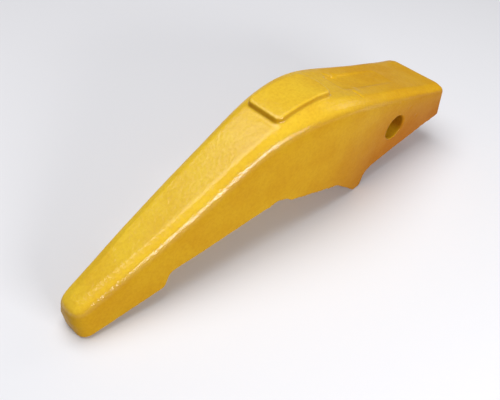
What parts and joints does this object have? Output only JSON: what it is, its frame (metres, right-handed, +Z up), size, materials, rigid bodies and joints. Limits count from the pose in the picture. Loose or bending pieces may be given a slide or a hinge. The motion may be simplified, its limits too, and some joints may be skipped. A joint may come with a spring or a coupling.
{
  "type": "bucket tooth adapter",
  "caption": "Cast steel adapter that is welded over a bucket's lip and carries a pinned digging tooth on its tapered nose.",
  "frame": {"origin": "middle of the adapter's box, on the floor it lies on: the tail's lower edge and the heel of the hook touch z = 0", "axes": "+X from the strap's tail to the tip of the nose, +Y along the cross pin bore, +Z up; y = 0 is the plane of symmetry"},
  "size_m": [0.4304, 0.0798, 0.1253],
  "materials": {
    "painted_cast_steel": "gloss machine yellow over a sand-cast steel surface"
  },
  "bodies": {
    "root": {"adapter_casting": "painted_cast_steel"}
  },
  "joints": []
}
